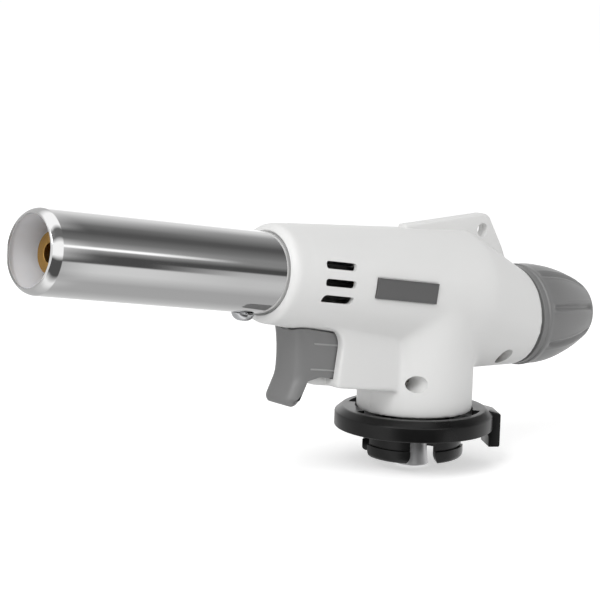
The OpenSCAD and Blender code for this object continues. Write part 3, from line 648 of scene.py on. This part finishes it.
screw_heads = []
for number, (x, z, floor) in enumerate(SCREWS):
    place = Matrix.Translation((x, floor - 0.05, z)) @ Matrix.Rotation(QUARTER, 4, "X")
    screw = pan_head(f"housing_screw_{number + 1}", HOUSING_SCREW_R, 1.5, place)
    shank = drum(HOUSING_SHANK_R, -14, HOUSING_SHANK_R, 0.3, 32)
    screw_heads.append(combine(screw, [solid("shank", shank, place)], "UNION"))
for screw in screw_heads:
    finish_piece(screw, "main", [plated_steel])
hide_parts("housing_screws")

# %% [markdown]
# ## Name plates
# A thin printed plate in each bed, left bare, with a fine raised border.

# %% Name plates
PLATE_T, BORDER, STEP_W, STEP_H = 0.8, 0.35, 0.06, 0.08
for side, name in ((-1, "left"), (1, "right")):
    base = block((-PLATE_LENGTH / 2, side * 0.03, -PLATE_HEIGHT / 2),
                 (PLATE_LENGTH / 2, side * PLATE_T, PLATE_HEIGHT / 2))
    bmesh.ops.recalc_face_normals(base, faces=base.faces[:])
    front = max(base.faces, key=lambda face: side * face.calc_center_median().y)
    bmesh.ops.inset_region(base, faces=[front], thickness=BORDER, depth=0)
    bmesh.ops.inset_region(base, faces=[front], thickness=STEP_W, depth=-STEP_H)
    name_plate = solid("name_plate_" + name, base, plate_place(side))
    finish_piece(name_plate, "main", [plate_print])
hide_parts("name_plates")

# %% [markdown]
# ## Trigger
# One grey moulding. The finger rests on a hollow curve whose edges are well rounded, and the sides
# run back into the jaw with two fine ribs. A bevel of that size would run over the hollow's small
# faces and fold, so the plate is sliced near its sides, and the points of each slice fall back
# along a quarter round, at the finger's front and at the toe.

# %% Blade of the trigger
TRIGGER_W, TRIGGER_WALL, STEM_DROP, STEM_BACK = 11, 1.3, 23.85, 27.5
FRONT_ROUND, TOE_ROUND, SLICES = 2.7, 1.6, 9
blade = plate([(-STEM_BACK, -STEM_DROP, 0), (-STEM_BACK, -10, 0), (-35, -10, 0), (-42.3, -10, 0),
               (-42.2, -13, 0), (-40.2, -18.6, 5), (-40.2, -24.6, 5), (-42.4, -31.3, 2.0),
               (-39.4, -31.9, 1.8), (-37.6, -26.8, 2), (-37, -25, 0.6), (-33.4, -STEM_DROP, 0.6)],
              TRIGGER_W, 8)
half_w = TRIGGER_W / 2
for step in range(SLICES):
    y = half_w - FRONT_ROUND * (1 - math.cos(QUARTER * (SLICES - step) / SLICES))
    for side in (-1, 1):
        bmesh.ops.bisect_plane(blade, geom=blade.verts[:] + blade.edges[:] + blade.faces[:],
                               dist=1e-5, plane_co=(0, side * y, 0), plane_no=(0, 1, 0))


def fall(y, radius):
    """How far a quarter round has fallen back at a distance y from the middle."""
    into = min(radius, max(0, abs(y) - half_w + radius))
    return radius - math.sqrt(radius * radius - into * into)


# The front's round begins at x = -38.2 and leans forwards below z = -27, along the toe's back
FRONT_X, LEAN_Z, LEAN, FRONT_FADE = -38.2, -27, 0.42, 1.2
TOE_Z, TOE_FADE = -29.2, 2
for vert in blade.verts:
    x, y, z = vert.co
    front = min(1, max(0, (FRONT_X - x - max(0, LEAN_Z - z) * LEAN) / FRONT_FADE))
    toe = min(1, max(0, (TOE_Z - z) / TOE_FADE))
    vert.co.x += front * fall(y, FRONT_ROUND)
    vert.co.z += toe * fall(y, TOE_ROUND)
bmesh.ops.recalc_face_normals(blade, faces=blade.faces[:])
trigger = solid("trigger_blade", blade)
print("blade:", len(trigger.data.polygons), "faces")

# %% [markdown]
# A rib is a square bar on its edge, sunk in the side until a fine ridge is left. The top is cut by
# the cone as it stands when the trigger is pressed, with the gap that a slide needs. The inside is
# hollow and its back is open, so the jaw's tongue can enter it.

# %% Ribs and hollow of the trigger
TRAVEL, SLIDE_GAP = 3.5, 0.3
RIB_HEIGHTS, RIB_HALF, RIB_SUNK = (-15.7, -22), 0.2, 0.06
ribs = []
for side in (-1, 1):
    for height in RIB_HEIGHTS:
        bar = block((-STEM_BACK - 9.3, -RIB_HALF, -RIB_HALF), (-STEM_BACK - 1, RIB_HALF, RIB_HALF))
        ribs.append(solid("rib", bar, Matrix.Translation((0, side * (half_w - RIB_SUNK), height))
                          @ Matrix.Rotation(QUARTER / 2, 4, "X")))
combine(trigger, ribs, "UNION")
over = drum(cone_r(20 - TRAVEL) + SLIDE_GAP, 20, cone_r(60 - TRAVEL) + SLIDE_GAP, 60, 192)
inside = plate([(-STEM_BACK - 1.7, -26.5, 0), (-STEM_BACK - 1.7, -9, 0), (-39.6, -9, 0),
                (-38.9, -18.6, 4), (-38.9, -24.6, 4), (-39.6, -27.2, 0.5), (-37.2, -27.4, 0),
                (-35.7, -26.5, 0)], TRIGGER_W - 2 * TRIGGER_WALL)
combine(trigger, [solid("over", over, Matrix.Rotation(-QUARTER, 4, "Y")),
                  solid("inside", inside)])
trigger.data.transform(BARREL)
finish_piece(trigger, "trigger", [grey_abs, rib_highlight_grey], ["trigger"])
# The ridges stand outside the flat sides, so a face's distance from the middle picks them out and
# gives them the paler grey, a painted highlight
for face in trigger.data.polygons:
    face.material_index = int(abs(face.center.y) > (half_w + 0.01) * MM)

# %% [markdown]
# ## Gas knob
# The knob is a lathe shape: a plain band, a bead, and a side that narrows to a rounded end. Eight
# flutes give the fingers their grip. They are pressed into the skin by moving its points, because
# real flutes fade out softly at both ends.

# %% Knob without its flutes
KNOB_START, KNOB_R, KNOB_LENGTH, KNOB_TIP_R, BEAD_S = REAR_S + 0.4, 13.2, 24.8, 8.6, 2.4
SIDE_CURVE, SIDE_STEPS = 2.1, 40
BORE_R, BORE_END, SLEEVE_R = 2.05, 11.7, 3.4


def knob_side(t):
    """A point of the knob's side, from the bead at t = 0 to the end's round at t = 1."""
    return (KNOB_R - (KNOB_R - KNOB_TIP_R) * t ** SIDE_CURVE,
            BEAD_S + 0.8 + (KNOB_LENGTH - 3.4 - BEAD_S) * t, 0)


# A narrow step at the front keeps a line of shadow between the knob and the grip
band_and_bead = [(11, 0, 0), (REAR_R - 0.7, 0, 0.1), (REAR_R - 0.7, 0.5, 0), (REAR_R, 0.5, 0.15),
                 (REAR_R + 0.05, BEAD_S - 0.35, 0), (KNOB_R + 0.12, BEAD_S - 0.1, 0.25),
                 (KNOB_R + 0.12, BEAD_S + 0.6, 0.25)]
side_points = [knob_side((i + 1) / SIDE_STEPS) for i in range(SIDE_STEPS)]
end_and_bore = [(KNOB_TIP_R - 0.9, KNOB_LENGTH, 2.3), (0, KNOB_LENGTH, 0), (0, BORE_END, 0),
                (BORE_R, BORE_END, 0), (BORE_R, 0, 0), (SLEEVE_R, 0, 0), (SLEEVE_R, 18, 0),
                (7, 18, 0), (11, 3, 0)]
knob_shape = lathe(band_and_bead + side_points + end_and_bore, 384, 6)
print("knob before its flutes:", len(knob_shape.faces), "faces")

# %% Press the flutes
FLUTES, FLUTE_HALF, FLUTE_DEPTH, FLUTE_LIP = 8, 1.3, 0.9, 0.12
FLUTE_FIRST = math.radians(29.5)
FLUTE_FROM, FADE_IN, FLUTE_STOP, FADE_OUT = BEAD_S + 1.2, 1.6, KNOB_LENGTH - 1.4, 2.4
step = math.tau / FLUTES


def ease(t):
    """Runs from 0 to 1 with a soft start and a soft end."""
    t = min(1, max(0, t))
    return t * t * (3 - 2 * t)


for vert in knob_shape.verts:
    radius = math.hypot(vert.co.x, vert.co.y)
    inner = radius < KNOB_TIP_R - 2.2 or radius < KNOB_R - 3.5 and vert.co.z < 20
    if inner or vert.co.z < FLUTE_FROM:
        continue
    turn = math.atan2(vert.co.y, vert.co.x) - FLUTE_FIRST
    aside = abs((turn + step / 2) % step - step / 2) * radius
    fade = ease((vert.co.z - FLUTE_FROM) / FADE_IN) * ease((FLUTE_STOP - vert.co.z) / FADE_OUT)
    groove = (1 + math.cos(math.pi * min(1, aside / FLUTE_HALF))) / 2
    lip_height = math.exp(-((aside - FLUTE_HALF - 0.25) / 0.3) ** 2)
    moved = radius - fade * (FLUTE_DEPTH * groove - FLUTE_LIP * lip_height)
    vert.co.x *= moved / radius
    vert.co.y *= moved / radius
knob = solid("knob", knob_shape, ALONG_VALVE @ Matrix.Translation((0, 0, KNOB_START)))
finish_piece(knob, "knob", [grey_abs], ["gas_knob"])

# %% [markdown]
# ## Lock ring
# A thick nylon ring with a chamfered top, a bed for the neck with two arcs for its stops, a tab
# for the thumb, and four claws that hold the cartridge. The claws are one turned ring with a lug
# round its outside, slit four times by plates that flare at the bottom.

# %% Ring and claws
RING_R, RING_H, RING_FLOOR, RING_BORE, RECESS_R = 20.3, 5.2, 3.5, 9.05, NECK_R + 0.35
CLAW_R, CLAW_H, CLAW_T, LUG_H, CLAW_GAP = 12.9, 7.3, 2.6, 3.3, 6.4
FLARE, FLARE_ROUND = 1.3, 1.0
ring = solid("lock_ring_body", lathe([
    (RING_BORE, 0, 0.2), (RING_R, 0, 0.35), (RING_R, 3.7, 0.25), (RING_R - 1.8, RING_H, 0.3),
    (RECESS_R, RING_H, 0.15), (RECESS_R, RING_FLOOR, 0), (RING_BORE, RING_FLOOR, 0.2)], 192))
claws = solid("claws", lathe([
    (CLAW_R - CLAW_T, 0.8, 0), (CLAW_R - CLAW_T, -CLAW_H, 0.4), (CLAW_R, -CLAW_H, 1.2),
    (CLAW_R, LUG_H - CLAW_H, 0.2), (CLAW_R - 0.5, LUG_H - CLAW_H, 0), (CLAW_R - 0.5, 0.8, 0)], 128))
slits = []
half_gap = CLAW_GAP / 2
for turn in (0, QUARTER):
    slit = plate([(-half_gap, -0.02, 0), (-half_gap, -CLAW_H + 1.4, FLARE_ROUND),
                  (-half_gap - FLARE, -CLAW_H - 0.5, 0), (half_gap + FLARE, -CLAW_H - 0.5, 0),
                  (half_gap, -CLAW_H + 1.4, FLARE_ROUND), (half_gap, -0.02, 0)], 60)
    slits.append(solid("slit", slit, Matrix.Rotation(turn, 4, "Z")))
combine(claws, slits)
print("claws:", len(claws.data.polygons), "faces")

# %% [markdown]
# Each arc is a small rectangle spun part of the way round, and cut into the ring's top. The tab is
# a plate that hangs from the rim.

# %% Arcs and tab
ARC_SPAN = math.radians(138)
TAB_ANGLE, TAB_W, TAB_OUT, TAB_DROP = math.radians(-30), 8.4, 1.7, 4.8
arcs = []
for middle in (QUARTER, -QUARTER):
    wedge = bmesh.new()
    outline(wedge, [(RECESS_R - 1, RING_FLOOR + 0.2, 0), (RECESS_R + 2, RING_FLOOR + 0.2, 0),
                    (RECESS_R + 2, RING_FLOOR + 9, 0), (RECESS_R - 1, RING_FLOOR + 9, 0)])
    bmesh.ops.rotate(wedge, verts=wedge.verts[:], cent=(0, 0, 0),
                     matrix=Matrix.Rotation(middle - ARC_SPAN / 2, 3, "Z"))
    bmesh.ops.spin(wedge, geom=wedge.verts[:] + wedge.edges[:] + wedge.faces[:], cent=(0, 0, 0),
                   axis=(0, 0, 1), angle=ARC_SPAN, steps=64, use_merge=False, use_duplicate=False)
    bmesh.ops.recalc_face_normals(wedge, faces=wedge.faces[:])
    arcs.append(solid("arc", wedge))
combine(ring, arcs)
tab = plate([(RING_R - 1.6, RING_H - 0.5, 0.3), (RING_R + TAB_OUT, RING_H - 1.4, 0.4),
             (RING_R + TAB_OUT, -TAB_DROP, 0.5), (RING_R - 1.3, -TAB_DROP, 0.3),
             (RING_R - 1.3, -2, 0.6), (RING_R - 3, -0.02, 0), (RING_R - 3, 2, 0)], TAB_W)
combine(ring, [claws, solid("tab", round_edges(tab, 0.3, 3))], "UNION")
ring.data.transform(Matrix.Rotation(TAB_ANGLE, 4, "Z"))
finish_piece(ring, "lock_ring", [black_nylon], ["lock_ring"])

# %% [markdown]
# ## Gas inlet
# A dull grey stem between the claws, a little wider at its mouth. It is open at both ends, so that
# gas can pass, and its narrow top screws into the valve.

# %% Gas inlet
INLET_R, INLET_FLARE, INLET_DROP, STEM_BORE = 3.6, 0.7, 9.5, 2
THREAD_R, STEM_TOP, JET_R = 3, 5, 1.2
inlet = solid("gas_inlet_stem", lathe([
    (STEM_BORE, 4.2, 0), (STEM_BORE, -INLET_DROP, 0.45), (INLET_R + INLET_FLARE, -INLET_DROP, 0.2),
    (INLET_R + 0.1, -INLET_DROP + 3, 2.5), (INLET_R, -2.25, 0), (THREAD_R, -2.25, 0),
    (THREAD_R, STEM_TOP, 0), (JET_R, STEM_TOP, 0), (JET_R, 4.2, 0)]))
finish_piece(inlet, "main", [grey_steel], ["inlet_stem"])

# %% [markdown]
# ## Inner pieces
# The pieces inside keep their CAD shapes. They show through the vents, the tube's mouth and the
# jaw, so each gets its own finish.

# %% Finishes of the CAD pieces
inner_finishes = {
    "burner_mount": cast_zinc, "burner_gauze": plated_steel, "mixing_tube": drawn_steel,
    "gas_jet": turned_brass, "valve_body": cast_zinc, "inlet_seal": nitrile,
    "inlet_filter": turned_brass, "ring_clip": plated_steel,
    "valve_spindle": plated_steel, "spindle_seal": nitrile, "gland_nut": turned_brass,
    "igniter_body": black_nylon, "igniter_plunger": ivory_acetal, "trigger_spring": plated_steel,
    "ignition_lead": silicone, "electrode_insulator": alumina, "electrode_wire": plated_steel,
}
for name, material in inner_finishes.items():
    data = frame["nodes"][name].data
    data.materials.clear()
    data.materials.append(material)
print(len(inner_finishes), "CAD pieces finished")

# %% [markdown]
# ## Studio
# A white floor under a white room gives the torch a soft, even light. A polished tube, though,
# looks like whatever stands round it. A product studio wraps such a tube in dark and light cards.
# Here its reflections are painted: one rolled sheet lies round the barrel's axis, and its tone
# changes with the angle round that axis. It glows, though it is no lamp, shows in glossy reflections
# alone, and throws no shadow.
#
# The floor keeps the torch's shadow, and glows a little for the camera alone, so it reads as white.

# %% Floor
FLOOR_DROP, FLOOR_LIFT, FLOOR_HALF = 0.0005, 0.48, 3
WHITE = (1, 1, 1, 1)
floor_z = cad_box[0].z - FLOOR_DROP


def stage_piece(name, shape, material):
    """A piece of the studio, which isn't part of the torch."""
    data = bpy.data.meshes.new(name)
    shape.to_mesh(data)
    shape.free()
    made = bpy.data.objects.new(name, data)
    bpy.context.scene.collection.objects.link(made)
    data.materials.append(material)
    return made


def bare_material(name):
    """A material with no nodes yet, and its node tree."""
    material = bpy.data.materials.new(name)
    material.use_nodes = True
    material.node_tree.nodes.clear()
    return material, material.node_tree


floor_card, tree = bare_material("floor_white_card")
rays = node(tree, "ShaderNodeLightPath")
lift = node(tree, "ShaderNodeMath", {0: rays.outputs["Is Camera Ray"], 1: FLOOR_LIFT},
            operation="MULTIPLY")
card = node(tree, "ShaderNodeBsdfDiffuse", {"Color": colour("#F4F4F4")})
glow = node(tree, "ShaderNodeEmission", {"Color": WHITE, "Strength": lift.outputs[0]})
both = node(tree, "ShaderNodeAddShader", {0: card.outputs[0], 1: glow.outputs[0]})
node(tree, "ShaderNodeOutputMaterial", {"Surface": both.outputs[0]})
ground = bmesh.new()
bmesh.ops.create_grid(ground, x_segments=1, y_segments=1, size=FLOOR_HALF,
                      matrix=Matrix.Translation((0, 0, floor_z)))
floor = stage_piece("floor", ground, floor_card)
floor.visible_glossy = False
print("floor at", round(floor_z / MM, 1), "mm")

# %% [markdown]
# The room is white wherever it is seen, mirrored or looked at through glass, and dimmer as a light.

# %% Room
ROOM_LIGHT = 0.58
world = bpy.data.worlds.new("white_room")
bpy.context.scene.world = world
world.use_nodes = True
tree = world.node_tree
tree.nodes.clear()
rays = node(tree, "ShaderNodeLightPath")
seen = rays.outputs["Is Camera Ray"]
for kind in ("Is Glossy Ray", "Is Transmission Ray"):
    seen = node(tree, "ShaderNodeMath", {0: seen, 1: rays.outputs[kind]},
                operation="MAXIMUM").outputs[0]
strength = node(tree, "ShaderNodeMapRange", {"Value": seen, "To Min": ROOM_LIGHT, "To Max": 1.0})
room = node(tree, "ShaderNodeBackground", {"Color": WHITE, "Strength": strength.outputs[0]})
node(tree, "ShaderNodeOutputWorld", {"Surface": room.outputs[0]})
print("room light", ROOM_LIGHT)

# %% [markdown]
# ### The rolled sheet of painted reflections
# The sheet carries a few cards, bands of painted reflection. Each lies between two angles, measured
# round the barrel from the
# side that faces the camera: up is 90, down is -90. From card to card the tone runs evenly. A black
# card and a dark grey one stand above the horizon, with a thin bright gap between them, and pale
# cards lie below, in front and behind.
#
# The cards also change along the barrel. The painted bright gap is strong where the mouth's half of
# the tube mirrors the sheet, and is gone towards the grip. The rolled rim faces forwards and mirrors
# the sheet's far end, whose own cards give the rim its bright spots, which are painted highlights.

# %% Cards on the sheet
# Each card: where it begins and ends, in degrees, and its tone
BELOW = [(-180, -180, 0.62), (-100, -65, 0.35)]
OVER = [(45, 45, 0.16), (65, 73, 0.08)]
BEHIND = [(135, 145, 0.6), (170, 180, 0.98)]
MOUTH_CARDS = (BELOW + [(-35, -15, 0.58), (-11, 9, 0.06), (21, 21, 0.28), (24, 27, 1.05),
                        (30, 30, 0.34)] + OVER + [(90, 90, 0.14)] + BEHIND)
GRIP_CARDS = (BELOW + [(-38, -22, 0.49), (-1, -1, 0.38), (2, 11, 0.06), (22, 36, 0.21)]
              + OVER + [(112, 112, 0.28)] + BEHIND)
RIM_CARDS = [(-180, -120, 0.4), (-95, -95, 0.5), (-78, -72, 0.78), (-50, -12, 0.07),
             (1, 32, 0.88), (46, 66, 0.13), (78, 116, 0.9), (135, 180, 0.41)]
print("cards on the sheet:", len(MOUTH_CARDS), len(GRIP_CARDS), len(RIM_CARDS))

# %% Places on the sheet
painted_reflection_paint, tree = bare_material("painted_reflection_sheet")
seat = ALONG_BARREL.inverted() @ Matrix.Scale(1 / MM, 4)
spot = node(tree, "ShaderNodeTexCoord").outputs["Object"]
place = node(tree, "ShaderNodeMapping", {"Vector": spot, "Location": seat.translation,
                                         "Rotation": seat.to_euler(),
                                         "Scale": (1 / MM, 1 / MM, 1 / MM)})
parts = node(tree, "ShaderNodeSeparateXYZ", {0: place.outputs[0]})
# Local X points up and local Y to the far side, so the near side is -Y
near = node(tree, "ShaderNodeMath", {0: parts.outputs[1], 1: -1.0}, operation="MULTIPLY")
angle = node(tree, "ShaderNodeMath", {0: parts.outputs[0], 1: near.outputs[0]}, operation="ARCTAN2")
share = node(tree, "ShaderNodeMapRange", {"Value": angle.outputs[0],
                                          "From Min": -math.pi, "From Max": math.pi})
print("nodes that find a place on the sheet:", len(tree.nodes))

# %% Paint the sheet
# The steel gives back this share of the light, so the sheet is that much brighter than its tones
STEEL_LIGHT = 0.64
# A curve node holds values up to 1, so the tones are halved in it and doubled after it
HALF = 0.5
# Where the tones change on the sheet, in mm forwards along the barrel
GRIP_TO_MOUTH, MOUTH_TO_RIM = (-108, -62), (-35, 10)


def tone_ramp(cards):
    """A curve that keeps each card's tone from its beginning to its end."""
    ramp = node(tree, "ShaderNodeFloatCurve", {"Value": share.outputs[0]})
    points = ramp.mapping.curves[0].points
    spots = [((edge + 180) / 360, tone * HALF / STEEL_LIGHT)
             for begin, end, tone in cards for edge in sorted({begin, end})]
    points[0].location = spots[0]
    points[1].location = spots[-1]
    for spot in spots[1:-1]:
        points.new(*spot)
    for point in points:
        point.handle_type = "VECTOR"
    ramp.mapping.update()
    return ramp.outputs[0]


tone = tone_ramp(GRIP_CARDS)
for (begin, end), cards in ((GRIP_TO_MOUTH, MOUTH_CARDS), (MOUTH_TO_RIM, RIM_CARDS)):
    along = node(tree, "ShaderNodeMapRange", {"Value": parts.outputs[2],
                                              "From Min": begin, "From Max": end})
    tone = node(tree, "ShaderNodeMapRange", {"Value": along.outputs[0], "To Min": tone,
                                             "To Max": tone_ramp(cards)}).outputs[0]
full = node(tree, "ShaderNodeMath", {0: tone, 1: 1 / HALF}, operation="MULTIPLY")
# The sheet glows, though it is no lamp: its tones are the painted reflection on the steel
light = node(tree, "ShaderNodeEmission", {"Color": WHITE, "Strength": full.outputs[0]})
node(tree, "ShaderNodeOutputMaterial", {"Surface": light.outputs[0]})

SHEET_R, SHEET_FROM, SHEET_TO = 230, -330, 420
sheet = lathe([(SHEET_R, SHEET_FROM, 0), (SHEET_R, SHEET_TO, 0), (SHEET_R + 1, SHEET_TO, 0),
               (SHEET_R + 1, SHEET_FROM, 0)])
sheet.transform(Matrix.Scale(MM, 4) @ ALONG_BARREL)
painted_reflection_sheet = stage_piece("painted_reflection_sheet", sheet, painted_reflection_paint)
painted_reflection_sheet.visible_camera = painted_reflection_sheet.visible_diffuse = False
painted_reflection_sheet.visible_shadow = painted_reflection_sheet.visible_transmission = False
print("sheet:", SHEET_TO - SHEET_FROM, "mm long,", 2 * SHEET_R, "mm across")

# %% [markdown]
# ### Lamps
# A large soft key from the upper left, a weaker fill from the right, and the room's own light.

# %% Lamps
LAMP_AIM = Vector((-0.03, 0, 0.03))


def lamp(name, position, power, size):
    """A square lamp that points at the torch's middle."""
    light = bpy.data.lights.new(name, "AREA")
    light.energy = power
    light.size = size
    made = bpy.data.objects.new(name, light)
    bpy.context.scene.collection.objects.link(made)
    made.location = position
    made.rotation_euler = (LAMP_AIM - made.location).to_track_quat("-Z", "Y").to_euler()
    print(name, "lamp", power, "W")


lamp("key", (-0.75, -0.35, 0.75), power=5.6, size=0.6)
lamp("fill", (0.35, -0.9, 0.35), power=0.5, size=0.7)

# %% [markdown]
# ### Camera
# The camera looks at the torch from its front left and a little above, as seen from 640 mm, and
# leans by under two degrees.

# %% Camera
AZIMUTH, ELEVATION, LEAN_ANGLE = math.radians(-39.93), math.radians(9.79), math.radians(1.8)
TARGET, DISTANCE, LENS, SENSOR = Vector((-0.0391, 0, 0.0361)), 0.6363, 156.17, 36
back = Vector((math.sin(AZIMUTH) * math.cos(ELEVATION),
               -math.cos(AZIMUTH) * math.cos(ELEVATION), math.sin(ELEVATION)))
right = Vector((math.cos(AZIMUTH), math.sin(AZIMUTH), 0))
up = back.cross(right)
camera = bpy.data.objects.new("camera", bpy.data.cameras.new("camera"))
bpy.context.scene.collection.objects.link(camera)
camera.data.lens = LENS
camera.data.sensor_width = SENSOR
turned_right = right * math.cos(LEAN_ANGLE) + up * math.sin(LEAN_ANGLE)
turned_up = up * math.cos(LEAN_ANGLE) - right * math.sin(LEAN_ANGLE)
axes = Matrix((turned_right, turned_up, back)).transposed().to_4x4()
camera.matrix_world = Matrix.Translation(TARGET + back * DISTANCE) @ axes
bpy.context.scene.camera = camera
bpy.context.scene.view_settings.view_transform = "Standard"
print("camera", round(DISTANCE / MM), "mm away, lens", LENS, "mm")
